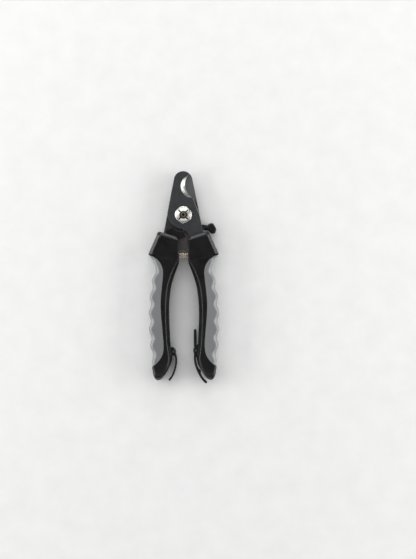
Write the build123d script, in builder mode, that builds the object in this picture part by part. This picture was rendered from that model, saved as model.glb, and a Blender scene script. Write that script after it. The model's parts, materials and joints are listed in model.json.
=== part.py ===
"""Pliers-type pet nail trimmer, lying on its back with its head towards +Y.

Two crossed steel blades turn on one pivot bolt. Each blade's tang is held in a
handle of the opposite side, a coil spring between the handles opens them, a
guard swings behind the blades and a loop and a catch lock the handles shut.
Units are millimetres. Outlines are drawn from the pivot, x to the right and y
towards the head, for the right-hand side; side = -1 mirrors them to the left.
"""

import math
import os

from build123d import *

os.makedirs("parts", exist_ok=True)

RIGHT, LEFT = 1, -1

# Layout
pivot_y = 46.9  # the pivot, forward of the middle of the whole length
handle_thick = 14.0
mid_z = handle_thick / 2

# Blades: two plates that slide on each other at mid height
blade_thick = 2.4
blade_gap = 0.1
front_z = mid_z + blade_gap / 2
front_top = front_z + blade_thick
rear_z = mid_z - blade_gap / 2 - blade_thick
rear_top = rear_z + blade_thick
head_radius = 7.0
head_centre_y = 25.8
head_lean = 11.2  # each side of the head leans out by this many degrees
edge_centre, edge_radius = (12.4, 22.6), 11.05
bevel_centre, bevel_radius = (7.2, 21.5), 9.0
edge_land = 0.35
edge_break = 0.3  # chamfer round the front blade's face
tongue_reach = 2.9  # the closing stop reaches this far past the middle
tongue_low, tongue_high = -26.8, -11.5

# Pivot, from the back: nut, wave washer, guard, thrust washer, both blades
shank_radius = 2.5
bush_radius = 3.5
running_gap = 0.05
nut_radius, nut_z, nut_top = 5.5, 0.5, 2.3
washer_radius = 5.6
wave_z, wave_thick = 2.35, 0.4
guard_z, guard_thick = 2.8, 1.2
thrust_z, thrust_top = 4.05, 4.5
bolt_head_radius, bolt_rim, bolt_dome = 6.2, 0.8, 1.4
boss_radius, boss_groove, boss_dimple = 2.7, 0.75, 1.0
slot_middle, slot_length, slot_width, slot_depth = 3.8, 3.0, 0.95, 1.35

# Handles
collar_inner_x = 3.4
collar_chamfer = 1.3
collar_corner = 1.5
neck_radius, neck_top = 12.7, 9.2  # plastic over the root of the left tang
scallop_pitch, scallop_depth = 12.35, 0.75
scallop_top_y, scallop_end_y = -42.7, -113.2
swell_y, swell_x = -77.0, 25.8  # the widest part of the handle
handle_round = 2.0
spine_z = 1.9  # rubber thickness on the handle's two flat sides
spine_edge = [(21.0, -31.8), (18.4, -41.0), (20.6, -60.0), (22.3, -77.0), (21.6, -96.0), (20.6, -111.0)]

# Tang anchor pins
tang_pin_radius, tang_pin_margin = 1.5, 2.4
tang_pin_places = [(15.8, -37.0), (16.2, -50.0)]

# Return spring, lying along X between the collars
spring_y = -30.6
spring_mean_radius, wire_radius = 2.2, 0.38
spring_turns = 15
seat_radius, seat_wall, seat_floor = 3.25, 0.5, 0.6
seat_depth_x, seat_mouth_x = 11.2, 4.2

# Safety guard
guard_hub_radius = 8.5
guard_nose, guard_nose_radius = (0.5, 15.5), 5.5
guard_elbow, guard_elbow_radius = (12.0, -9.2), 2.3
guard_arm_end, guard_arm_radius = (19.8, -9.9), 1.7
tab_z, tab_top = 1.2, 8.0
tab_outline = [
    (15.9, -9.7), (20.3, -6.2), (22.6, -6.6), (24.8, -10.8), (23.9, -14.0), (21.4, -14.4), (18.2, -11.4)
]
tab_corner = 0.8

# Lock
lock_low, lock_high = 4.0, 10.0  # the knuckles run between the ears
ear_thick, ear_gap = 1.2, 0.2
loop_hinge = (-8.1, -102.7)
catch_hinge = (8.6, -102.0)
lock_pin_radius = 1.0
knuckle_radius = 1.9
strap_thick, strap_half_width = 1.4, 4.6
lever_thick, lever_thin = 2.2, 1.7
lever_curve, lever_end = [(8.1, -109.6), (9.3, -114.8), (11.5, -119.8), (14.3, -124.2)], (16.2, -126.0)


def layer(z):
    """A sketch plane at height z with its origin on the pivot's axis."""
    return Plane(origin=(0, pivot_y, z))


def sided(side, *points):
    """The points, or their mirror images on the left-hand side."""
    return [(side * x, y) for x, y in points]


def save(part, name):
    part.label = name
    export_step(part, f"parts/{name}.step")


# ---------------------------------------------------------------- blades


def draw_blade(side):
    """Outline of the blade whose tang goes to the given side."""
    lean = math.radians(head_lean)
    tip = (head_radius * math.cos(math.pi / 4), head_centre_y + head_radius * math.sin(math.pi / 4))
    top = (-head_radius * math.sin(lean), head_centre_y + head_radius * math.cos(lean))
    shoulder = (-head_radius * math.cos(lean), head_centre_y + head_radius * math.sin(lean))
    flank = (-12.0, 1.4)
    hub_mid, hub_end = (-8.7, -7.2), (-1.6, -10.6)
    tang_root = (3.6, -14.6)
    heel = (7.2, 12.9)
    edge_mid = (edge_centre[0] - edge_radius, edge_centre[1])
    with BuildLine() as outline:
        ThreePointArc(*sided(side, tip, top, shoulder))
        Line(*sided(side, shoulder, flank))
        ThreePointArc(*sided(side, flank, (-12.05, 0.2), (-11.6, -1.4)))
        ThreePointArc(*sided(side, (-11.6, -1.4), hub_mid, hub_end))
        ThreePointArc(*sided(side, hub_end, (1.7, -12.1), tang_root))
        Polyline(
            *sided(
                side,
                tang_root,
                (6.2, -19.5),
                (12.2, -25.5),
                (13.0, -56.0),
                (17.4, -56.0),
                (16.9, -41.0),
                (18.4, -30.0),
                (14.4, -10.6),
                (12.0, 0.6),
                heel,
            )
        )
        ThreePointArc(*sided(side, heel, edge_mid, tip))
    return outline.line


def draw_tongue(side):
    """The closing stop, a tongue on the tang that reaches across the gap."""
    with BuildLine() as outline:
        Polyline(
            *sided(
                side,
                (-tongue_reach, tongue_high),
                (8.0, tongue_high),
                (14.0, tongue_low),
                (-tongue_reach, tongue_low),
            ),
            close=True,
        )
    return outline.line


def circle_at(side, centre):
    return (side * centre[0], centre[1])


# The front blade's jaw is on the left and its tang goes to the right handle.
with BuildPart() as front_blade:
    with BuildSketch(layer(front_z)):
        add(draw_blade(RIGHT))
        make_face()
        Circle(bush_radius, mode=Mode.SUBTRACT)
        with Locations(*tang_pin_places):
            Circle(tang_pin_radius, mode=Mode.SUBTRACT)
    extrude(amount=blade_thick)
    face_edges = edges().group_by(Axis.Z)[-1]
    chamfer([e for e in face_edges if e.center().Y > pivot_y - 12 and e.length > 1], edge_break)
    with BuildSketch(layer(front_z + edge_land)):
        with Locations(edge_centre):
            Circle(edge_radius)
    with BuildSketch(layer(front_top)):
        with Locations(bevel_centre):
            Circle(bevel_radius)
    loft(mode=Mode.SUBTRACT)
save(front_blade.part, "front_blade")

# The rear blade is its mirror image, with the bevel on its back, and carries the stop.
with BuildPart() as rear_blade:
    with BuildSketch(layer(rear_z)):
        add(draw_blade(LEFT))
        make_face()
        Circle(bush_radius + running_gap, mode=Mode.SUBTRACT)
        with Locations(*sided(LEFT, *tang_pin_places)):
            Circle(tang_pin_radius, mode=Mode.SUBTRACT)
    with BuildSketch(layer(rear_z)):
        add(draw_tongue(LEFT))
        make_face()
        fillet(vertices().filter_by(lambda v: v.X > 0), 0.6)
    extrude(amount=blade_thick)
    with BuildSketch(layer(rear_z)):
        with Locations(circle_at(LEFT, bevel_centre)):
            Circle(bevel_radius)
    with BuildSketch(layer(rear_top - edge_land)):
        with Locations(circle_at(LEFT, edge_centre)):
            Circle(edge_radius)
    loft(mode=Mode.SUBTRACT)
save(rear_blade.part, "rear_blade")

# ---------------------------------------------------------------- pivot

# Domed bolt head with a centre boss and four slots for a spanner, and its shank.
rim_z = front_top + bolt_rim
dome_z = rim_z + bolt_dome
dome_ball = (bolt_head_radius**2 + bolt_dome**2) / (2 * bolt_dome)
dome_half_angle = math.asin(bolt_head_radius / dome_ball) / 2
dome_mid = (dome_ball * math.sin(dome_half_angle), dome_z - dome_ball * (1 - math.cos(dome_half_angle)))
with BuildPart() as pivot_bolt:
    with BuildSketch(Plane(origin=(0, pivot_y, 0), x_dir=(1, 0, 0), z_dir=(0, -1, 0))):
        with BuildLine():
            Line((0, nut_z), (shank_radius, nut_z))
            Line((shank_radius, nut_z), (shank_radius, front_top))
            Line((shank_radius, front_top), (bolt_head_radius, front_top))
            Line((bolt_head_radius, front_top), (bolt_head_radius, rim_z))
            ThreePointArc((bolt_head_radius, rim_z), dome_mid, (0, dome_z))
            Line((0, dome_z), (0, nut_z))
        make_face()
    revolve(axis=Axis((0, pivot_y, 0), (0, 0, 1)))
    with BuildSketch(layer(dome_z)):
        with PolarLocations(slot_middle, 4, start_angle=45):
            SlotOverall(slot_length, slot_width)
        Circle(boss_radius)
        Circle(boss_radius - boss_groove, mode=Mode.SUBTRACT)
    extrude(amount=-slot_depth, mode=Mode.SUBTRACT)
    with BuildSketch(layer(dome_z)):
        Circle(boss_dimple)
    extrude(amount=-boss_groove, mode=Mode.SUBTRACT)
save(pivot_bolt.part, "pivot_bolt")

# Round nut on the back, with two spanner holes.
with BuildPart() as pivot_nut:
    with BuildSketch(layer(nut_z)):
        Circle(nut_radius)
        Circle(shank_radius, mode=Mode.SUBTRACT)
    extrude(amount=nut_top - nut_z)
    chamfer(edges().group_by(Axis.Z)[0].sort_by(SortBy.LENGTH)[-1], 0.4)
    with BuildSketch(layer(nut_z)):
        with PolarLocations(4.0, 2):
            Circle(0.7)
    extrude(amount=1.0, mode=Mode.SUBTRACT)
save(pivot_nut.part, "pivot_nut")

# Steel bush on the shank, on which the rear blade and the guard turn.
with BuildPart() as pivot_bush:
    with BuildSketch(layer(guard_z)):
        Circle(bush_radius)
        Circle(shank_radius, mode=Mode.SUBTRACT)
    extrude(amount=front_top - guard_z)
save(pivot_bush.part, "pivot_bush")

with BuildPart() as thrust_washer:
    with BuildSketch(layer(thrust_z)):
        Circle(washer_radius)
        Circle(bush_radius, mode=Mode.SUBTRACT)
    extrude(amount=thrust_top - thrust_z)
save(thrust_washer.part, "thrust_washer")

with BuildPart() as wave_washer:
    with BuildSketch(layer(wave_z)):
        Circle(washer_radius - 0.3)
        Circle(shank_radius + 0.1, mode=Mode.SUBTRACT)
    extrude(amount=wave_thick)
save(wave_washer.part, "wave_washer")

# ---------------------------------------------------------------- safety guard

# Plate behind the blades: a nose that covers the jaws and an arm out to the tab.
with BuildPart() as guard_plate:
    with BuildSketch(layer(guard_z)):
        Circle(guard_hub_radius)
        with Locations(guard_nose):
            Circle(guard_nose_radius)
        make_hull()
    with BuildSketch(layer(guard_z)):
        Circle(guard_hub_radius - 2.0)
        with Locations(guard_elbow):
            Circle(guard_elbow_radius)
        make_hull()
    with BuildSketch(layer(guard_z)):
        with Locations(guard_elbow):
            Circle(guard_elbow_radius)
        with Locations(guard_arm_end):
            Circle(guard_arm_radius)
        make_hull()
    extrude(amount=guard_thick)
    with BuildSketch(layer(guard_z)):
        Circle(bush_radius + running_gap)
    extrude(amount=guard_thick, mode=Mode.SUBTRACT)
save(guard_plate.part, "guard_plate")

# Plastic thumb tab moulded round the end of the arm.
with BuildPart() as guard_tab:
    with BuildSketch(layer(tab_z)):
        with BuildLine():
            Polyline(*tab_outline, close=True)
        make_face()
        fillet(vertices(), tab_corner)
    extrude(amount=tab_top - tab_z)
    fillet(edges().group_by(Axis.Z)[-1], 1.1)
    fillet(edges().group_by(Axis.Z)[0], 0.8)
    add(guard_plate.part, mode=Mode.SUBTRACT)
save(guard_tab.part, "guard_tab")

# ---------------------------------------------------------------- handles


def swell(y):
    """Half width of the handle's outer edge between a crest and a trough."""
    if y > swell_y:
        return swell_x - 4.0 * ((y - swell_y) / 34.3) ** 2
    return swell_x - 2.2 * ((y - swell_y) / 33.0) ** 2


def finger_edge(y):
    """The outer edge, with shallow scallops for the fingers."""
    phase = 2 * math.pi * (y - scallop_top_y) / scallop_pitch
    return swell(y) - scallop_depth * math.cos(phase)


def draw_handle(side):
    """Outline of one handle below its collar, rubber included: one smooth curve and a top."""
    steps = 23
    drop = (scallop_end_y - scallop_top_y) / steps
    scallops = [(finger_edge(scallop_top_y + i * drop), scallop_top_y + i * drop) for i in range(steps + 1)]
    flare = [(25.2, -30.8), (22.3, -36.0)]
    foot = [(23.0, -119.0), (20.6, -123.6), (17.6, -123.4), (13.6, -118.3)]
    inner_edge = [(9.3, -107.6), (10.6, -96.0), (11.2, -76.0), (9.6, -54.3), (4.2, -36.5)]
    with BuildLine() as outline:
        Spline(*sided(side, *flare, *scallops, *foot, *inner_edge))
        Polyline(*sided(side, inner_edge[-1], (6.0, -29.0), (24.0, -29.0), flare[0]))
    return outline.line


def draw_collar(side):
    """Outline of the thick collar that the tang enters."""
    with BuildLine() as outline:
        Polyline(
            *sided(
                side,
                (collar_inner_x, -17.4),
                (18.8, -12.3),
                (26.5, -29.8),
                (25.0, -31.4),
                (17.6, -35.0),
                (collar_inner_x, -35.4),
            ),
            close=True,
        )
    return outline.line


def draw_grip(side):
    """The rubber's patch: everything outside the seam on the handle's face."""
    with BuildLine() as outline:
        Spline(
            *sided(
                side,
                (24.2, -29.5),
                (17.9, -35.4),
                (15.5, -41.5),
                (16.3, -51.0),
                (17.5, -66.0),
                (16.5, -84.0),
                (15.4, -101.0),
                (17.4, -107.4),
                (25.5, -114.8),
            )
        )
        Polyline(*sided(side, (25.5, -114.8), (32.0, -114.8), (32.0, -29.5), (24.2, -29.5)))
    return outline.line


def draw_spine(side):
    """The stiff spine of the core that the rubber wraps."""
    with BuildLine() as outline:
        Spline(*sided(side, *spine_edge))
        Polyline(*sided(side, spine_edge[-1], (13.5, -111.0), (13.5, -31.8), spine_edge[0]))
    return outline.line


def draw_ear(side, hinge):
    """A round ear about a lock hinge, running back into the handle."""
    x, y = side * hinge[0], hinge[1]
    reach = knuckle_radius + 0.1
    root_low, root_high = (14.0, y - 6.4), (14.0, y + 5.8)
    nose_low, nose_high = (x - reach * 0.8, y - reach * 0.6), (x - reach * 0.8, y + reach * 0.6)
    with BuildLine() as outline:
        Polyline(*sided(side, root_low, (9.6, y - 5.6), nose_low))
        ThreePointArc(*sided(side, nose_low, (x - reach, y), nose_high))
        Polyline(*sided(side, nose_high, (10.6, y + 5.2), root_high, root_low))
    return outline.line


def draw_neck():
    """The left handle's neck over the rear blade's tang, clear of the front blade's hub."""
    arc = [math.radians(angle) for angle in (227, 250, 273)]
    start, middle, end = [(neck_radius * math.cos(a), neck_radius * math.sin(a)) for a in arc]
    with BuildLine() as outline:
        ThreePointArc(start, middle, end)
        Polyline(end, (1.6, -16.0), (-5.0, -19.0), (-14.0, -16.5), (-13.2, -11.4), start)
    return outline.line


def make_handle_body(side):
    """The handle below the collar, edges rounded, before the rubber is divided off."""
    with BuildPart() as body:
        with BuildSketch(layer(0)):
            add(draw_handle(side))
            make_face()
        extrude(amount=handle_thick)
        fillet(edges().filter_by(lambda e: e.length > 60), handle_round)
    return body.part


def make_collar(side):
    """The collar, bevelled round its top, outer and inner sides."""
    with BuildPart() as collar:
        with BuildSketch(layer(0)):
            add(draw_collar(side))
            make_face()
            fillet(vertices().filter_by(lambda v: v.Y > pivot_y - 20), collar_corner)
        extrude(amount=handle_thick)
        for rim in (edges().group_by(Axis.Z)[0], edges().group_by(Axis.Z)[-1]):
            chamfer(rim.filter_by(lambda e: e.center().Y > pivot_y - 28), collar_chamfer)
    return collar.part


def make_grip(side):
    """Rubber over-moulding that wraps the spine of the core."""
    with BuildPart() as grip:
        add(make_handle_body(side))
        with BuildSketch(layer(0)):
            add(draw_grip(side))
            make_face()
        extrude(amount=handle_thick, mode=Mode.INTERSECT)
        with BuildSketch(layer(spine_z)):
            add(draw_spine(side))
            make_face()
        extrude(amount=handle_thick - 2 * spine_z, mode=Mode.SUBTRACT)
        add(make_collar(side), mode=Mode.SUBTRACT)
    return grip.part


def make_core(side, grip, blade, hinge):
    """Black core: collar, handle and ears, hollowed for the tang and the spring."""
    with BuildPart() as core:
        add(make_handle_body(side))
        add(make_collar(side))
        for ear_z in (lock_low - ear_gap - ear_thick, lock_high + ear_gap):
            with BuildSketch(layer(ear_z)):
                add(draw_ear(side, hinge))
                make_face()
            extrude(amount=ear_thick)
        with BuildSketch(layer(lock_low - ear_gap)):
            with Locations((hinge[0], hinge[1] - 0.6)):
                Rectangle(5.0, 13.6)
        extrude(amount=lock_high - lock_low + 2 * ear_gap, mode=Mode.SUBTRACT)
        with BuildSketch(layer(0)):
            with Locations(hinge):
                Circle(lock_pin_radius)
        extrude(amount=handle_thick, mode=Mode.SUBTRACT)
        with BuildSketch(Plane(origin=(0, pivot_y + spring_y, mid_z), z_dir=(side, 0, 0))):
            Circle(seat_radius)
        extrude(amount=seat_depth_x, mode=Mode.SUBTRACT)
        add(grip, mode=Mode.SUBTRACT)
        add(blade, mode=Mode.SUBTRACT)
        with BuildSketch(layer(tang_pin_margin)):
            with Locations(*sided(side, *tang_pin_places)):
                Circle(tang_pin_radius)
        extrude(amount=handle_thick - 2 * tang_pin_margin, mode=Mode.SUBTRACT)
    return core.part


right_grip = make_grip(RIGHT)
save(right_grip, "right_grip")
left_grip = make_grip(LEFT)
save(left_grip, "left_grip")
right_core = make_core(RIGHT, right_grip, front_blade.part, catch_hinge)
save(right_core, "right_handle_core")
with BuildPart() as left_core:
    add(make_core(LEFT, left_grip, rear_blade.part, loop_hinge))
    with BuildSketch(layer(rear_top)):
        add(draw_neck())
        make_face()
    extrude(amount=neck_top - rear_top)
save(left_core.part, "left_handle_core")

# Two steel pins in each handle anchor the tang.
for side, name in ((RIGHT, "right_tang_pins"), (LEFT, "left_tang_pins")):
    with BuildPart() as tang_pins:
        with BuildSketch(layer(tang_pin_margin)):
            with Locations(*sided(side, *tang_pin_places)):
                Circle(tang_pin_radius)
        extrude(amount=handle_thick - 2 * tang_pin_margin)
    save(tang_pins.part, name)

# ---------------------------------------------------------------- return spring

for side, name in ((RIGHT, "right_spring_seat"), (LEFT, "left_spring_seat")):
    mouth = Plane(origin=(side * seat_mouth_x, pivot_y + spring_y, mid_z), z_dir=(side, 0, 0))
    with BuildPart() as spring_seat:
        with BuildSketch(mouth):
            Circle(seat_radius)
        extrude(amount=seat_depth_x - seat_mouth_x)
        with BuildSketch(mouth):
            Circle(seat_radius - seat_wall)
        extrude(amount=seat_depth_x - seat_mouth_x - seat_floor, mode=Mode.SUBTRACT)
    save(spring_seat.part, name)

# Coil spring squeezed between the two seats.
spring_half = seat_depth_x - seat_floor - wire_radius - 0.05
spring_end = (-spring_half, pivot_y + spring_y, mid_z)
spring_pitch = 2 * spring_half / spring_turns
with BuildPart() as return_spring:
    with BuildLine() as coil:
        Helix(spring_pitch, 2 * spring_half, spring_mean_radius, center=spring_end, direction=(1, 0, 0))
    with BuildSketch(Plane(origin=coil.line @ 0, z_dir=coil.line % 0)):
        Circle(wire_radius)
    sweep(is_frenet=True)
save(return_spring.part, "return_spring")

# ---------------------------------------------------------------- lock

# Strap with a window, hinged on the left handle.
with BuildPart() as lock_loop:
    with BuildSketch(layer(mid_z - strap_half_width)) as strap:
        with BuildLine():
            Spline((-6.6, -105.6), (-6.1, -108.6), (-7.1, -115.7), (-8.8, -120.3), (-11.6, -124.3))
        trace(line_width=strap_thick)
    extrude(amount=2 * strap_half_width)
    with BuildSketch(layer(lock_low)):
        with BuildLine():
            Line((-7.4, -102.9), (-6.5, -106.6))
        trace(line_width=strap_thick)
        with Locations(loop_hinge):
            Circle(knuckle_radius)
    extrude(amount=lock_high - lock_low)
    with BuildSketch(layer(lock_low)):
        with Locations(loop_hinge):
            Circle(lock_pin_radius + running_gap)
    extrude(amount=lock_high - lock_low, mode=Mode.SUBTRACT)
    with BuildSketch(Plane(origin=(0, pivot_y - 115.0, mid_z), x_dir=(0, 1, 0), z_dir=(1, 0, 0))):
        Rectangle(10.0, 5.4)
    extrude(amount=-14.0, mode=Mode.SUBTRACT)
save(lock_loop.part, "lock_loop")

# Two-armed catch lever, rocking on a pin in the right handle's ears.
with BuildPart() as lock_catch:
    with BuildSketch(layer(lock_low)):
        with BuildLine():
            Line((8.3, -87.1), (8.3, -98.0))
            Line((8.3, -98.0), catch_hinge)
        trace(line_width=lever_thick)
        with BuildLine():
            Spline(catch_hinge, *lever_curve, lever_end)
        trace(line_width=lever_thin)
        with Locations((8.3, -87.1)):
            Circle(lever_thick / 2)
        with Locations(lever_end):
            Circle(lever_thin / 2)
        with Locations(catch_hinge):
            Circle(knuckle_radius)
        with BuildLine():
            Polyline((10.0, -115.2), (12.3, -117.2), (12.4, -121.2), (10.6, -118.0), close=True)
        make_face()
    extrude(amount=lock_high - lock_low)
    with BuildSketch(layer(lock_low)):
        with Locations(catch_hinge):
            Circle(lock_pin_radius + running_gap)
    extrude(amount=lock_high - lock_low, mode=Mode.SUBTRACT)
save(lock_catch.part, "lock_catch")

for hinge, name in ((loop_hinge, "loop_pin"), (catch_hinge, "catch_pin")):
    with BuildPart() as lock_pin:
        with BuildSketch(layer(lock_low - ear_gap - ear_thick)):
            with Locations(hinge):
                Circle(lock_pin_radius)
        extrude(amount=lock_high - lock_low + 2 * (ear_gap + ear_thick))
    save(lock_pin.part, name)
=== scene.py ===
"""Pliers-type pet nail trimmer on a pale table, finished piece by piece in assembly order."""

import json
import math

import bmesh
import bpy
from mathutils import Matrix, Vector


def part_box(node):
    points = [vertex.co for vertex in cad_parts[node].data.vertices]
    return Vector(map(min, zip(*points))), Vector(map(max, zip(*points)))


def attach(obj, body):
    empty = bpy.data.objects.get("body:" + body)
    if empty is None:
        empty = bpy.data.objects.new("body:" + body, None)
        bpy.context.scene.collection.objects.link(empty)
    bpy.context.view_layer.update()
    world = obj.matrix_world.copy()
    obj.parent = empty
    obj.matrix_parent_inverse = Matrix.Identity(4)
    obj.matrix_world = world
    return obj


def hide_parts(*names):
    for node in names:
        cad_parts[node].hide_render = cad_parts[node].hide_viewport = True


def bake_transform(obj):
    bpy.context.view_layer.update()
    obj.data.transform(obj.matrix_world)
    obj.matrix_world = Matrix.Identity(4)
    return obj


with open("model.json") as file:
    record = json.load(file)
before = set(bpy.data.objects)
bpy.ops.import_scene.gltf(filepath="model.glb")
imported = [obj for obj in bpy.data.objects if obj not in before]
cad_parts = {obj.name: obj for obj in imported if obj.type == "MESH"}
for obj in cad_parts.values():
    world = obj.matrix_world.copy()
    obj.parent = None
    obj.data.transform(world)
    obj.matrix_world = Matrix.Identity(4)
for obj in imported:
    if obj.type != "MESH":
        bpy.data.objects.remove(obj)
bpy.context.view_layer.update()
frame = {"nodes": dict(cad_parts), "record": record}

# ------------------------------------------------------------------ camera
# The trimmer lies on the table and is seen from straight above, a little off centre.
# The lens takes in view_tall metres from top to bottom at framed_height over the table.
view_height = 1.2
view_centre = (0.0182, -0.0019)
view_tall = 0.4193
lean = math.radians(0.4)
sensor = 36.0
framed_height = 0.012

camera_data = bpy.data.cameras.new("camera")
camera_data.sensor_width = sensor
camera_data.lens = sensor * (view_height - framed_height) / view_tall
camera = bpy.data.objects.new("camera", camera_data)
camera.location = (*view_centre, view_height)
camera.rotation_euler = (0.0, 0.0, -lean)
bpy.context.scene.collection.objects.link(camera)
bpy.context.scene.camera = camera

# ------------------------------------------------------------------ light
# A wide soft key above the head end, with a dim overhead panel and two small side lamps.
# Low strips all round light the bevels, under a pale, dim sky.


def add_panel(name, place, aim, size, power):
    """A rectangular area lamp at a place, turned to face a point."""
    lamp = bpy.data.lights.new(name, "AREA")
    lamp.shape = "RECTANGLE"
    lamp.size, lamp.size_y = size
    lamp.energy = power
    panel = bpy.data.objects.new(name, lamp)
    panel.location = place
    panel.rotation_euler = (Vector(aim) - Vector(place)).to_track_quat("-Z", "Y").to_euler()
    bpy.context.scene.collection.objects.link(panel)


middle = (0.0, 0.0, 0.0)
add_panel("key", (-0.15, 0.6, 0.95), middle, (1.7, 0.7), 4.4)
add_panel("overhead", (0.0, -0.45, 1.0), middle, (1.2, 0.35), 1.0)
for name, across in (("left_side", -0.75), ("right_side", 0.75)):
    add_panel(name, (across, 0.05, 0.85), middle, (0.5, 0.5), 0.7)
for name, across in (("left_strip", -0.8), ("right_strip", 0.8)):
    add_panel(name, (across, 0.0, 0.3), middle, (1.0, 0.3), 4.8)
for name, along, power in (("back_strip", 0.85, 3.0), ("front_strip", -0.85, 2.1)):
    add_panel(name, (0.0, along, 0.3), middle, (0.8, 0.3), power)

world = bpy.data.worlds.new("studio")
world.use_nodes = True
sky = world.node_tree.nodes["Background"]
sky.inputs["Color"].default_value = (0.95, 0.97, 1.0, 1.0)
sky.inputs["Strength"].default_value = 0.1
bpy.context.scene.world = world
bpy.context.scene.view_settings.view_transform = "Standard"

# ------------------------------------------------------------------ table
# A plain pale laminate sheet under the trimmer, wide enough to fill the view from above.
# It is the stage and no part of the trimmer.
table_half = 1.2
ramp_start, ramp_end = 0.3, 0.7


def new_material(name):
    """A node material, its tree and its shader."""
    material = bpy.data.materials.new(name)
    material.use_nodes = True
    tree = material.node_tree
    return material, tree, tree.nodes["Principled BSDF"]


def set_inputs(node, **values):
    """Set a node's sockets by name, with _ for a space."""
    for name, value in values.items():
        node.inputs[name.replace("_", " ")].default_value = value


def add_noise(tree, scale, detail=3.0, roughness=0.55, stretch=(1.0, 1.0, 1.0)):
    """Noise on Object coordinates, squeezed along each axis by stretch."""
    coords = tree.nodes.new("ShaderNodeTexCoord")
    mapping = tree.nodes.new("ShaderNodeMapping")
    noise = tree.nodes.new("ShaderNodeTexNoise")
    mapping.inputs["Scale"].default_value = stretch
    set_inputs(noise, Scale=scale, Detail=detail, Roughness=roughness)
    tree.links.new(coords.outputs["Object"], mapping.inputs["Vector"])
    tree.links.new(mapping.outputs["Vector"], noise.inputs["Vector"])
    return noise.outputs["Fac"]


def add_ramp(tree, source, low, high):
    """A colour ramp between two values or colours."""
    ramp = tree.nodes.new("ShaderNodeValToRGB")
    for element, place, value in zip(ramp.color_ramp.elements, (ramp_start, ramp_end), (low, high)):
        element.position = place
        element.color = (*value, 1.0) if isinstance(value, tuple) else (value, value, value, 1.0)
    tree.links.new(source, ramp.inputs["Fac"])
    return ramp.outputs["Color"]


def vary(tree, shader, socket, source, low, high):
    """Let a shader socket drift between two values or colours with a source."""
    tree.links.new(add_ramp(tree, source, low, high), shader.inputs[socket])


def add_bump(tree, shader, height, depth, strength):
    """Bump of a real depth in metres on the shader."""
    bump = tree.nodes.new("ShaderNodeBump")
    set_inputs(bump, Strength=strength, Distance=depth)
    tree.links.new(height, bump.inputs["Height"])
    tree.links.new(bump.outputs["Normal"], shader.inputs["Normal"])


laminate, tree, shader = new_material("pale_laminate")
grain = add_noise(tree, 60.0, 4.0)
vary(tree, shader, "Base Color", grain, (0.86, 0.86, 0.85), (0.9, 0.9, 0.89))
set_inputs(shader, Roughness=0.6)

table_corners = [(x * table_half, y * table_half, 0) for x, y in ((-1, -1), (1, -1), (1, 1), (-1, 1))]
table_mesh = bpy.data.meshes.new("table")
table_mesh.from_pydata(table_corners, [], [(0, 1, 2, 3)])
table = bpy.data.objects.new("table", table_mesh)
bpy.context.scene.collection.objects.link(table)
table.data.materials.append(laminate)

# ------------------------------------------------------------------ blades
# Two stamped steel plates with a dark, slightly grainy coating, ground bright on the bevels.
# The rear one shows a rubbed grey face in the front one's notch and carries the closing stop.
mm = 0.001
bolt_low, bolt_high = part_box("pivot_bolt")
pivot_x, pivot_y = (bolt_low.x + bolt_high.x) / 2, (bolt_low.y + bolt_high.y) / 2
blade_edge_round = 0.1
# A level face over broad_area square metres is shaded flat. A face whose normal's Z lies between
# upright and level is a bevel. The angles are those past which an edge is creased, rounded or kept.
broad_area, dead_level, upright, level = 4e-6, 0.999, 0.2, 0.97
crease_angle, hard_angle, flat_angle = math.radians(35.0), math.radians(38.0), math.radians(0.8)
# Where the head's round, the hollow-ground cutting edge and the long chamfer lie, from the pivot.
head_centre, head_reach, head_start = (0.0, 25.8), 6.55, 27.0
edge_centre, edge_radius, edge_slack, edge_start = (12.4, 22.6), 11.05, 0.25, 12.5
chamfer_left, chamfer_foot, chamfer_ground = -2.6, -0.5, 12.9


def finish(mesh, name, *materials):
    """Turn a bmesh into an object: flat on its broad level faces, smooth elsewhere, hard edges creased."""
    bmesh.ops.remove_doubles(mesh, verts=mesh.verts, dist=1e-6)
    bmesh.ops.recalc_face_normals(mesh, faces=mesh.faces)
    for face in mesh.faces:
        face.smooth = abs(face.normal.z) < dead_level or face.calc_area() < broad_area
    for edge in mesh.edges:
        edge.smooth = len(edge.link_faces) == 2 and edge.calc_face_angle(0.0) < crease_angle
    data = bpy.data.meshes.new(name)
    mesh.to_mesh(data)
    mesh.free()
    for material in materials:
        data.materials.append(material)
    piece = bpy.data.objects.new(name, data)
    bpy.context.scene.collection.objects.link(piece)
    return piece


def body_holding(node):
    """The body that a CAD node belongs to."""
    bodies = frame["record"]["behaviour"]["bodies"]
    return next(body for body, nodes in bodies.items() if node in nodes)


def soften(node, edge_round, *materials):
    """Stand in for a CAD node with a copy whose hard edges are broken by a small round."""
    mesh = bmesh.new()
    mesh.from_mesh(frame["nodes"][node].data)
    bmesh.ops.remove_doubles(mesh, verts=mesh.verts, dist=2e-6)
    bmesh.ops.dissolve_limit(mesh, angle_limit=flat_angle, verts=mesh.verts, edges=mesh.edges)
    hard = [e for e in mesh.edges if len(e.link_faces) == 2 and e.calc_face_angle(0.0) > hard_angle]
    bmesh.ops.bevel(
        mesh, geom=hard, offset=edge_round * mm, segments=2, profile=0.6, affect="EDGES", clamp_overlap=True
    )
    piece = finish(mesh, f"{node}_finished", *materials)
    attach(piece, body_holding(node))
    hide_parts(node)
    return piece


def from_pivot(point):
    """Millimetres right of and above the pivot, and the height."""
    return (point.x - pivot_x) / mm, (point.y - pivot_y) / mm, point.z / mm


def add_position(tree):
    """The sockets X, Y and Z of Object coordinates, in metres."""
    coords = tree.nodes.new("ShaderNodeTexCoord")
    split = tree.nodes.new("ShaderNodeSeparateXYZ")
    tree.links.new(coords.outputs["Object"], split.inputs["Vector"])
    return split.outputs


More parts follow.
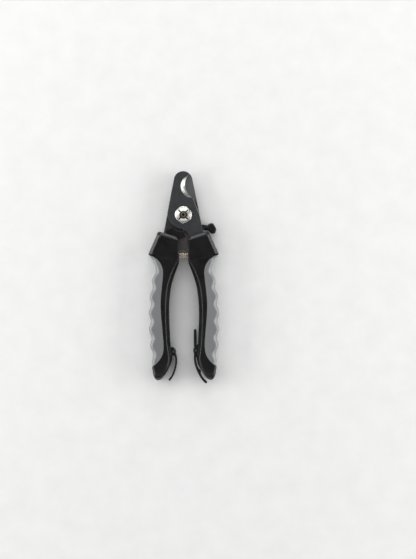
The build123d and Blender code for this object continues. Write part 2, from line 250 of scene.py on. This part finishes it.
coating, tree, shader = new_material("blade_coating")
speckle = add_noise(tree, 9000.0, 2.0, 0.6)
mottle = add_noise(tree, 260.0, 4.0)
vary(tree, shader, "Base Color", mottle, (0.028, 0.029, 0.032), (0.036, 0.037, 0.04))
vary(tree, shader, "Roughness", mottle, 0.42, 0.5)
set_inputs(shader, Metallic=0.2)
add_bump(tree, shader, speckle, 0.00002, 0.35)

rubbed, tree, shader = new_material("rubbed_coating")
wear_reach = 0.03
along = tree.nodes.new("ShaderNodeMapRange")
set_inputs(along, From_Min=pivot_y - wear_reach, From_Max=pivot_y + wear_reach)
tree.links.new(add_position(tree)["Y"], along.inputs["Value"])
wear = tree.nodes.new("ShaderNodeValToRGB")
unworn = (0.026, 0.027, 0.03)
bands = [(0.26, (0.1, 0.088, 0.088)), (0.3, unworn), (0.64, unworn), (0.69, (0.098, 0.1, 0.102))]
for place, _ in bands[2:]:
    wear.color_ramp.elements.new(place)
for element, (place, colour) in zip(wear.color_ramp.elements, bands):
    element.position, element.color = place, (*colour, 1.0)
tree.links.new(along.outputs["Result"], wear.inputs["Fac"])
tree.links.new(wear.outputs["Color"], shader.inputs["Base Color"])
scuff = add_noise(tree, 700.0, 4.0, 0.6, (6.0, 1.0, 1.0))
vary(tree, shader, "Roughness", scuff, 0.38, 0.5)
set_inputs(shader, Metallic=0.2)
add_bump(tree, shader, scuff, 0.00002, 0.3)

ground, tree, shader = new_material("ground_steel")
grind = add_noise(tree, 1400.0, 3.0, 0.6, (1.0, 14.0, 1.0))
vary(tree, shader, "Base Color", grind, (0.3, 0.3, 0.29), (0.58, 0.58, 0.56))
vary(tree, shader, "Roughness", grind, 0.28, 0.42)
set_inputs(shader, Metallic=1.0)
add_bump(tree, shader, grind, 0.00002, 0.4)

worn, tree, shader = new_material("worn_edge")
nick = add_noise(tree, 900.0, 3.0)
vary(tree, shader, "Base Color", nick, (0.1, 0.1, 0.105), (0.3, 0.3, 0.3))
set_inputs(shader, Metallic=0.8, Roughness=0.42)

ground_slot, rubbed_slot, worn_slot = 1, 2, 3
for blade, side in (("front_blade", 1), ("rear_blade", -1)):
    piece = soften(blade, blade_edge_round, coating, ground, rubbed, worn)
    for face in piece.data.polygons:
        x, y, _ = from_pivot(face.center)
        x *= side
        slope = face.normal.z * side
        outside_head = y > head_start and math.dist((x, y), head_centre) > head_reach
        on_edge = abs(math.dist((x, y), edge_centre) - edge_radius) < edge_slack and y > edge_start
        on_chamfer = upright < slope < level and x > chamfer_left and y > chamfer_foot
        if on_edge and slope < level:
            face.material_index = ground_slot
        elif on_chamfer and not outside_head:
            face.material_index = ground_slot if y > chamfer_ground else worn_slot
        elif blade == "rear_blade" and face.normal.z > level:
            face.material_index = rubbed_slot

# ------------------------------------------------------------------ pivot
# A nickel-plated bolt, with painted shade in its slots and a tarnished boss, runs through both blades and
# the guard to a round nut. A steel bush, a nylon washer and a wave washer sit in the stack.
slot_depth_seen, slot_reach, boss_reach = 0.07, 5.6, 1.97
dome_top, dome_ball, dome_depth = bolt_high.z / mm, 14.43, 1.6

nickel, tree, shader = new_material("bright_nickel")
haze = add_noise(tree, 700.0, 3.0)
vary(tree, shader, "Base Color", haze, (0.84, 0.82, 0.76), (0.9, 0.88, 0.83))
vary(tree, shader, "Roughness", haze, 0.2, 0.27)
set_inputs(shader, Metallic=1.0)

tarnish, tree, shader = new_material("tarnished_boss")
bloom = add_noise(tree, 1500.0, 4.0)
vary(tree, shader, "Base Color", bloom, (0.05, 0.042, 0.03), (0.26, 0.23, 0.18))
set_inputs(shader, Roughness=0.5, Metallic=0.7)
add_bump(tree, shader, bloom, 0.00004, 0.5)

# Painted shade: the faces inside the slots are coloured near-black to stand for the shade in them.
slot_shade, tree, shader = new_material("bolt_slot_shade")
slot_mottle = add_noise(tree, 2600.0, 4.0)
vary(tree, shader, "Base Color", slot_mottle, (0.004, 0.0035, 0.003), (0.018, 0.015, 0.012))
set_inputs(shader, Roughness=0.7, Specular_IOR_Level=0.15)
add_bump(tree, shader, slot_mottle, 0.00005, 0.6)

steel, tree, shader = new_material("plain_steel")
streak = add_noise(tree, 900.0, 3.0, 0.6, (1.0, 9.0, 1.0))
vary(tree, shader, "Base Color", streak, (0.42, 0.41, 0.4), (0.56, 0.55, 0.53))
vary(tree, shader, "Roughness", streak, 0.28, 0.42)
set_inputs(shader, Metallic=1.0)

nylon, tree, shader = new_material("washer_nylon")
cloud = add_noise(tree, 500.0, 3.0)
vary(tree, shader, "Base Color", cloud, (0.66, 0.64, 0.58), (0.74, 0.72, 0.66))
set_inputs(shader, Roughness=0.5)

# Faces sunk inside the slots take the painted shade, and the faces on the boss take the tarnish.
painted_shade_slot, tarnish_slot = 1, 2
bolt = soften("pivot_bolt", 0.08, nickel, slot_shade, tarnish)
for face in bolt.data.polygons:
    x, y, z = from_pivot(face.center)
    reach = math.hypot(x, y)
    dome = dome_top - dome_ball + math.sqrt(dome_ball**2 - reach**2)
    if z > dome_top - dome_depth and reach < slot_reach and z < dome - slot_depth_seen:
        face.material_index = painted_shade_slot
    elif z > dome_top - dome_depth and reach < boss_reach:
        face.material_index = tarnish_slot
soften("pivot_nut", 0.1, nickel)
soften("pivot_bush", 0.05, steel)
soften("wave_washer", 0.05, steel)
soften("thrust_washer", 0.05, nylon)

# ------------------------------------------------------------------ handle cores
# Black moulded handles: a bevelled collar takes the tang, then a curved limb runs to a rounded foot.
# Each is skinned over a row of rounded sections, from the handle's inner edge to its outer edge,
# bored for the spring, and then given its lock ears and, on the left, a black block over the tang's root as
# painted shade.
handle_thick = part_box("right_handle_core")[1].z / mm
face_level, core_lift = handle_thick - 0.15, 0.06
collar_top = ((3.4, -17.4), (18.8, -12.3))
collar_bottom = ((3.4, -34.6), (26.5, -29.8))
collar_length, collar_bevel, collar_corner = 18.0, 2.0, 1.3
rim_drop, hem_fade, hem_edge = 1.35, 0.7, 0.4
collar_outer_across, collar_outer_down = 1.9, 1.1
collar_depths = (0.0, 0.25, 0.6, 1.0, 1.4, collar_bevel, 2.6, 4.0, 7.0, 10.0, 13.0, 16.0, 17.3, 17.7)
corner_steps, face_steps, wall_steps, limb_steps = 8, 8, 6, 10
block_angle = math.radians(30)
limb_bevel_power, limb_round_power, limb_crown = 1.15, 1.3, 0.12
round_flatness = 0.75
seam_tuck, tuck_end, tuck_fade = 0.5, 1.2, 0.7

black, tree, shader = new_material("black_plastic")
mould = add_noise(tree, 5200.0, 2.0, 0.6)
patch = add_noise(tree, 120.0, 3.0)
vary(tree, shader, "Base Color", patch, (0.0042, 0.0042, 0.0048), (0.006, 0.006, 0.0066))
vary(tree, shader, "Roughness", patch, 0.26, 0.33)
set_inputs(shader, Specular_IOR_Level=0.43)
add_bump(tree, shader, mould, 0.00003, 0.35)


def smooth_row(rows, t):
    """Catmull-Rom interpolation of rows of equal length at t from 0 to len - 1."""
    i = min(int(t), len(rows) - 2)
    f = t - i
    a, b, c, d = (rows[max(0, min(len(rows) - 1, k))] for k in (i - 1, i, i + 1, i + 2))
    return [
        0.5 * (2 * q + (r - p) * f + (2 * p - 5 * q + 4 * r - s) * f**2 + (3 * q - p - 3 * r + s) * f**3)
        for p, q, r, s in zip(a, b, c, d)
    ]


def corner(across, down, power, backwards=False):
    """Offsets from a section's corner: a round at power 2, a straight bevel at power 1."""
    steps = [k / corner_steps * math.pi / 2 for k in range(corner_steps + 1)]
    return [
        (across * (1 - abs(math.cos(a)) ** (2 / power)), down * (1 - abs(math.sin(a)) ** (2 / power)))
        for a in (reversed(steps) if backwards else steps)
    ]


def section(width, low, high, inner, outer, crown=0.0):
    """Points (s, z) round a section; inner and outer edges are (across, down, power)."""
    points = [(over, high - drop) for over, drop in corner(*inner)]
    flat = [inner[0] + (width - inner[0] - outer[0]) * k / face_steps for k in range(1, face_steps)]
    points += [(s, high + crown * math.sin(math.pi * k / face_steps)) for k, s in enumerate(flat, 1)]
    points += [(width - over, high - drop) for over, drop in corner(*outer, backwards=True)]
    top, bottom = high - outer[1], low + outer[1]
    points += [(width, top + (bottom - top) * k / wall_steps) for k in range(1, wall_steps)]
    points += [(width - over, low + drop) for over, drop in corner(*outer)]
    points += [(s, low) for s in reversed(flat)]
    points += [(over, low + drop) for over, drop in corner(*inner, backwards=True)]
    top, bottom = high - inner[1], low + inner[1]
    points += [(0.0, bottom + (top - bottom) * k / wall_steps) for k in range(1, wall_steps)]
    return points


def skin(mesh, rows, side):
    """Skin a bmesh over rows of (inner x, y), (outer x, y) and section points."""
    rings = []
    for inner, outer, points in rows:
        width = math.dist(inner, outer)
        across = ((outer[0] - inner[0]) / width, (outer[1] - inner[1]) / width)
        ring = []
        for s, z in points:
            x, y = inner[0] + across[0] * s, inner[1] + across[1] * s
            ring.append(mesh.verts.new((pivot_x + side * x * mm, pivot_y + y * mm, z * mm)))
        rings.append(ring)
    for upper, lower in zip(rings, rings[1:]):
        for k in range(len(upper)):
            n = (k + 1) % len(upper)
            mesh.faces.new((upper[k], upper[n], lower[n], lower[k]))
    mesh.faces.new(rings[0])
    mesh.faces.new(rings[-1])


def add_block(mesh, outline, low, high, edge_round):
    """Add an extruded outline with rounded edges, given in millimetres from the pivot."""
    block = bmesh.new()
    base = [block.verts.new((pivot_x + x * mm, pivot_y + y * mm, low * mm)) for x, y in outline]
    top = [block.verts.new((v.co.x, v.co.y, high * mm)) for v in base]
    block.faces.new(base)
    block.faces.new(top)
    for k in range(len(base)):
        n = (k + 1) % len(base)
        block.faces.new((base[k], base[n], top[n], top[k]))
    bmesh.ops.recalc_face_normals(block, faces=block.faces)
    hard = [edge for edge in block.edges if edge.calc_face_angle(0.0) > block_angle]
    bmesh.ops.bevel(block, geom=hard, offset=edge_round * mm, segments=3, profile=0.5, affect="EDGES")
    data = bpy.data.meshes.new("block")
    block.to_mesh(data)
    block.free()
    mesh.from_mesh(data)
    bpy.data.meshes.remove(data)


def collar_rows():
    """Sections down the collar, drawn in at its top end to bevel the rim."""
    rows = []
    for depth in (*collar_depths, collar_length):
        u = depth / collar_length
        inner, outer = (
            tuple(a + (b - a) * u for a, b in zip(top, foot)) for top, foot in zip(collar_top, collar_bottom)
        )
        inset = max(0.0, 1 - depth / collar_bevel) * rim_drop
        fade = min(1.0, (collar_length - depth) / hem_fade)
        turn = max(0.0, 1 - depth / collar_corner)
        draw_in = collar_corner * (1 - math.sqrt(1 - turn**2))
        width = math.dist(inner, outer)
        ends = [
            tuple(a + (b - a) * s / width for a, b in zip(inner, outer)) for s in (draw_in, width - draw_in)
        ]
        outer_edge = (hem_edge + collar_outer_across * fade, hem_edge + collar_outer_down * fade, 1.0)
        edges = (1.0, 1.0, 1.0), outer_edge
        rows.append((*ends, section(math.dist(*ends), inset + core_lift, face_level - inset, *edges)))
    return rows


# Limb stations: inner edge x, y; outer edge (or rubber seam) x, y; inner edge's bevel across and
# down; outer edge's round; and how far the faces have closed in.
limb_stations = [
    (3.5, -35.4, 23.9, -31.1, 1.3, 1.5, 0.4, 0.0),
    (4.2, -37.8, 19.7, -33.7, 1.9, 2.3, 0.4, 0.0),
    (5.6, -41.5, 16.7, -38.0, 2.5, 3.1, 0.4, 0.0),
    (7.3, -46.2, 15.6, -43.5, 2.9, 3.6, 0.4, 0.0),
    (9.6, -54.3, 16.4, -53.0, 3.0, 3.8, 0.4, 0.0),
    (10.9, -64.6, 17.5, -64.6, 3.0, 3.8, 0.4, 0.0),
    (11.2, -75.0, 17.3, -75.0, 2.9, 3.8, 0.4, 0.0),
    (10.9, -86.0, 16.4, -86.0, 2.8, 3.7, 0.4, 0.0),
    (10.4, -96.5, 15.6, -96.5, 2.8, 3.6, 0.4, 0.0),
    (9.5, -103.8, 16.1, -103.8, 2.8, 3.4, 0.4, 0.0),
    (9.3, -108.0, 18.9, -109.0, 2.6, 3.0, 0.5, 0.0),
    (10.3, -112.2, 23.7, -113.3, 2.4, 2.6, 1.2, 0.0),
    (12.2, -116.2, 23.7, -117.0, 2.1, 2.3, 1.8, 0.0),
    (14.9, -120.4, 23.0, -120.9, 1.9, 2.0, 2.0, 0.25),
    (17.1, -123.1, 21.6, -123.4, 1.6, 1.6, 1.6, 1.4),
    (18.7, -124.1, 20.0, -124.2, 0.5, 0.8, 0.5, 3.2),
]


def limb_rows():
    """Sections down the limb, from under the collar to the foot."""
    rows = []
    for number in range((len(limb_stations) - 1) * limb_steps + 1):
        station = smooth_row(limb_stations, number / limb_steps)
        inner_x, inner_y, outer_x, outer_y, across, down, outer_round, inset = station
        inset = max(0.0, inset)
        tuck = seam_tuck * min(1.0, max(0.0, (tuck_end - outer_round) / tuck_fade)) / (outer_x - inner_x)
        inner = (inner_x, inner_y)
        outer = (outer_x + tuck * (outer_x - inner_x), outer_y + tuck * (outer_y - inner_y))
        inner_edge = (across, down, limb_bevel_power)
        outer_edge = (outer_round, outer_round * round_flatness, limb_round_power)
        low, high = inset + core_lift, face_level - inset
        shape = section(math.dist(inner, outer), low, high, inner_edge, outer_edge, crown=limb_crown)
        rows.append((inner, outer, shape))
    return rows


def bore(piece, place, radius, length, side):
    """Drill a blind hole along X into the inner wall of the collar."""
    drill = bmesh.new()
    turn = Matrix.Rotation(math.pi / 2, 4, "Y")
    start, along, height = place
    centre = Matrix.Translation((side * (start + length / 2) * mm, pivot_y + along * mm, height * mm))
    bmesh.ops.create_cone(
        drill,
        cap_ends=True,
        segments=48,
        radius1=radius * mm,
        radius2=radius * mm,
        depth=length * mm,
        matrix=centre @ turn,
    )
    tool = finish(drill, "drill")
    cut = piece.modifiers.new("bore", "BOOLEAN")
    cut.operation, cut.object, cut.solver = "DIFFERENCE", tool, "EXACT"
    depsgraph = bpy.context.evaluated_depsgraph_get()
    data = bpy.data.meshes.new_from_object(piece.evaluated_get(depsgraph))
    piece.modifiers.remove(cut)
    piece.data = data
    bpy.data.objects.remove(tool)


spring_y, spring_z = -30.6, handle_thick / 2
seat_start, seat_length, seat_radius = 2.0, 9.2, 3.25
# Painted shade: a black plastic block over the rear tang's root, where that tang's face lies in shade.
shade_block_radius, shade_block_from, shade_block_sweep, shade_block_steps = 12.7, 227, 46, 12
shade_block_levels, shade_block_round = (6.95, 9.2), 0.35
shade_block_angles = [math.radians(shade_block_from + shade_block_sweep * k / shade_block_steps) for k in range(shade_block_steps + 1)]
shade_block = [(shade_block_radius * math.cos(a), shade_block_radius * math.sin(a)) for a in shade_block_angles]
shade_block += [(1.6, -16.0), (-5.0, -19.0), (-14.0, -16.5), (-13.2, -11.4)]
loop_ear = [
    (-13.0, -99.2),
    (-8.6, -99.5),
    (-7.0, -100.9),
    (-6.3, -103.2),
    (-6.9, -105.9),
    (-9.4, -106.2),
    (-13.0, -108.0),
]
catch_ear = [
    (13.5, -96.6),
    (10.6, -97.0),
    (8.0, -99.4),
    (6.7, -101.2),
    (6.7, -103.0),
    (8.0, -105.4),
    (9.6, -108.2),
    (13.5, -108.0),
]
ear_levels, ear_round = ((2.7, 3.8), (10.2, 11.3)), 0.3

for name, side, ear in (("right", 1, catch_ear), ("left", -1, loop_ear)):
    mesh = bmesh.new()
    skin(mesh, collar_rows() + limb_rows(), side)
    shell = finish(mesh, f"{name}_shell")
    bore(shell, (seat_start, spring_y, spring_z), seat_radius, seat_length, side)
    mesh = bmesh.new()
    mesh.from_mesh(shell.data)
    bpy.data.objects.remove(shell)
    for low, high in ear_levels:
        add_block(mesh, ear, low, high, ear_round)
    # On the left, the black block stands in for the shade on the rear tang's face.
    if side < 0:
        add_block(mesh, shade_block, *shade_block_levels, shade_block_round)
    core = finish(mesh, f"{name}_core_shell", black)
    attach(core, body_holding(f"{name}_handle_core"))
    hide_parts(f"{name}_handle_core")
    soften(f"{name}_tang_pins", 0.1, steel)
    soften(f"{name}_spring_seat", 0.1, steel)

# ------------------------------------------------------------------ grips
# Soft grey rubber moulded over the outer half of each handle, with six finger scallops.
# Its outer edge is generously rounded and painted paler as a highlight, and its seam laps a hair over the
# core.
scallop_pitch, scallop_depth, trough_y = 12.35, 0.75, -42.7
swell_y, swell_x = -77.0, 25.75
flare_rise, flare_length = 4.6, 12.3
upper_fall, upper_length = 4.0, 34.3
lower_fall, lower_length = 2.2, 33.0
grip_steps, grip_crown, seam_lap, seam_edge = 12, 0.05, 0.1, (0.2, 0.12, 2.0)
grip_round, round_swing, least_flat, grip_round_power = 2.9, 0.4, 0.5, 1.35
# How far below the grip's faces the painted highlight starts, and where it is full.
highlight_start, highlight_full = 0.2, 0.75
# A colour Mix node's own sockets, which share their names with its number and vector ones.
mix_factor, mix_first, mix_second, mix_result = 0, 6, 7, 2

rubber, tree, shader = new_material("grey_rubber")
skin_grain = add_noise(tree, 3800.0, 3.0, 0.6)
cast = add_noise(tree, 45.0, 2.0)
off_middle = tree.nodes.new("ShaderNodeMath")
rise = tree.nodes.new("ShaderNodeMath")
edge_highlight_mask = tree.nodes.new("ShaderNodeMapRange")
tint = tree.nodes.new("ShaderNodeMix")
off_middle.operation, rise.operation, tint.data_type = "SUBTRACT", "ABSOLUTE", "RGBA"
off_middle.inputs[1].default_value = handle_thick / 2 * mm
set_inputs(
    edge_highlight_mask, From_Min=(handle_thick / 2 - highlight_start) * mm, From_Max=(handle_thick / 2 - highlight_full) * mm
)
tree.links.new(add_position(tree)["Z"], off_middle.inputs[0])
tree.links.new(off_middle.outputs["Value"], rise.inputs[0])
tree.links.new(rise.outputs["Value"], edge_highlight_mask.inputs["Value"])
# Painted highlight: the rounded edge below the face is coloured paler than the face, as if lit from the
# sides.
rubber_base = add_ramp(tree, cast, (0.17, 0.175, 0.18), (0.194, 0.199, 0.204))
rubber_highlight = add_ramp(tree, cast, (0.235, 0.24, 0.243), (0.265, 0.27, 0.273))
tree.links.new(edge_highlight_mask.outputs["Result"], tint.inputs[mix_factor])
tree.links.new(rubber_base, tint.inputs[mix_first])
tree.links.new(rubber_highlight, tint.inputs[mix_second])
tree.links.new(tint.outputs[mix_result], shader.inputs["Base Color"])
vary(tree, shader, "Roughness", skin_grain, 0.3, 0.4)
set_inputs(shader, Sheen_Weight=1.0, Sheen_Roughness=0.3, Specular_IOR_Level=0.8)
add_bump(tree, shader, skin_grain, 0.00004, 0.5)


def finger_edge(y):
    """Half width of the grip's outer edge: flared under the collar, scalloped below it."""
    if y > trough_y:
        return swell_x - upper_fall - scallop_depth + flare_rise * ((y - trough_y) / flare_length) ** 2
    most, length = (upper_fall, upper_length) if y > swell_y else (lower_fall, lower_length)
    wave = math.cos(2 * math.pi * (y - trough_y) / scallop_pitch)
    return swell_x - most * ((y - swell_y) / length) ** 2 - scallop_depth * wave


# Grip stations: seam x, y and the outer edge's y.
grip_stations = [
    (23.9, -30.7, -29.9),
    (19.7, -33.7, -33.9),
    (16.7, -38.0, -38.0),
    (15.6, -43.5, -43.2),
    (16.4, -53.0, -52.6),
    (17.5, -64.6, -64.6),
    (17.3, -75.0, -75.0),
    (16.4, -86.0, -86.0),
    (15.6, -96.5, -96.5),
    (16.1, -103.8, -103.6),
    (18.7, -109.0, -108.8),
    (22.3, -112.7, -113.0),
]

for name, side in (("right", 1), ("left", -1)):
    rows = []
    for number in range((len(grip_stations) - 1) * grip_steps + 1):
        seam_x, seam_y, outer_y = smooth_row(grip_stations, number / grip_steps)
        seam, outer = (seam_x, seam_y), (finger_edge(outer_y), outer_y)
        lap = seam_lap / math.dist(seam, outer)
        seam = (seam_x - lap * (outer[0] - seam_x), seam_y - lap * (outer_y - seam_y))
        width = math.dist(seam, outer)
        hollow = math.cos(2 * math.pi * (outer_y - trough_y) / scallop_pitch)
        edge_round = min(grip_round + round_swing * hollow, width - least_flat)
        edges = seam_edge, (edge_round, edge_round * round_flatness, grip_round_power)
        rows.append((seam, outer, section(width, 0.0, handle_thick - grip_crown, *edges, crown=grip_crown)))
    mesh = bmesh.new()
    skin(mesh, rows, side)
    grip = finish(mesh, f"{name}_grip_shell", rubber)
    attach(grip, body_holding(f"{name}_grip"))
    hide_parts(f"{name}_grip")

# ------------------------------------------------------------------ safety guard
# A coated steel plate behind the blades, turning on the same bush as the rear blade.
# Its arm reaches out to the right, with a black thumb tab moulded on its end.
soften("guard_plate", 0.15, coating)
soften("guard_tab", 0.2, black)

# ------------------------------------------------------------------ return spring
# Cold-wound steel wire between the two seats, pushing the collars apart.
# A swept spiral makes it.
spring_turns, wire_radius, coil_radius, spring_half = 15, 0.4, 2.15, 10.1
turn_steps, wire_sides = 28, 12

wire, tree, shader = new_material("spring_wire")
drawn = add_noise(tree, 1600.0, 3.0)
vary(tree, shader, "Base Color", drawn, (0.8, 0.69, 0.57), (0.95, 0.86, 0.75))
vary(tree, shader, "Roughness", drawn, 0.2, 0.32)
set_inputs(shader, Metallic=1.0)

winding = bpy.data.node_groups.new("spring_winding", "GeometryNodeTree")
sockets = winding.interface
sockets.new_socket("Geometry", in_out="OUTPUT", socket_type="NodeSocketGeometry")
for label in ("Turns", "Coil Radius", "Length", "Wire Radius"):
    sockets.new_socket(label, in_out="INPUT", socket_type="NodeSocketFloat")
sockets.new_socket("Wire", in_out="INPUT", socket_type="NodeSocketMaterial")
entry, leave = winding.nodes.new("NodeGroupInput"), winding.nodes.new("NodeGroupOutput")
spiral = winding.nodes.new("GeometryNodeCurveSpiral")
profile = winding.nodes.new("GeometryNodeCurvePrimitiveCircle")
sweep = winding.nodes.new("GeometryNodeCurveToMesh")
lay = winding.nodes.new("GeometryNodeTransform")
realize = winding.nodes.new("GeometryNodeRealizeInstances")
dress = winding.nodes.new("GeometryNodeSetMaterial")
shade = winding.nodes.new("GeometryNodeSetShadeSmooth")
spiral.inputs["Resolution"].default_value = turn_steps
profile.inputs["Resolution"].default_value = wire_sides
sweep.inputs["Fill Caps"].default_value = True
lay.inputs["Rotation"].default_value = (0.0, math.pi / 2, 0.0)
lay.inputs["Translation"].default_value = (-spring_half * mm, pivot_y + spring_y * mm, spring_z * mm)
for source, target in (
    (entry.outputs["Turns"], spiral.inputs["Rotations"]),
    (entry.outputs["Coil Radius"], spiral.inputs["Start Radius"]),
    (entry.outputs["Coil Radius"], spiral.inputs["End Radius"]),
    (entry.outputs["Length"], spiral.inputs["Height"]),
    (entry.outputs["Wire Radius"], profile.inputs["Radius"]),
    (spiral.outputs["Curve"], sweep.inputs["Curve"]),
    (profile.outputs["Curve"], sweep.inputs["Profile Curve"]),
    (sweep.outputs["Mesh"], lay.inputs["Geometry"]),
    (lay.outputs["Geometry"], shade.inputs["Geometry"]),
    (shade.outputs["Geometry"], realize.inputs["Geometry"]),
    (realize.outputs["Geometry"], dress.inputs["Geometry"]),
    (entry.outputs["Wire"], dress.inputs["Material"]),
    (dress.outputs["Geometry"], leave.inputs["Geometry"]),
):
    winding.links.new(source, target)

spring = bpy.data.objects.new("spring_coil", bpy.data.meshes.new("spring_blank"))
bpy.context.scene.collection.objects.link(spring)
coil = spring.modifiers.new("winding", "NODES")
coil.node_group = winding
sizes = {
    "Turns": float(spring_turns),
    "Coil Radius": coil_radius * mm,
    "Length": 2 * spring_half * mm,
    "Wire Radius": wire_radius * mm,
    "Wire": wire,
}
for item in sockets.items_tree:
    if item.in_out == "INPUT":
        coil[item.identifier] = sizes[item.name]
wound = bpy.data.meshes.new_from_object(spring.evaluated_get(bpy.context.evaluated_depsgraph_get()))
spring.modifiers.remove(coil)
spring.data = wound
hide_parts("return_spring")
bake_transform(spring)

# ------------------------------------------------------------------ lock
# A glossy blue-black plastic loop on the left handle and its catch lever on the right one.
# Each is hinged between its handle's two ears on a small blackened steel pin.
gloss, tree, shader = new_material("lock_plastic")
flow = add_noise(tree, 300.0, 3.0)
vary(tree, shader, "Base Color", flow, (0.004, 0.0045, 0.007), (0.007, 0.0075, 0.0105))
vary(tree, shader, "Roughness", flow, 0.26, 0.36)
add_bump(tree, shader, flow, 0.00002, 0.3)

soften("lock_loop", 0.25, gloss)
soften("lock_catch", 0.22, gloss)
soften("loop_pin", 0.1, coating)
soften("catch_pin", 0.1, coating)
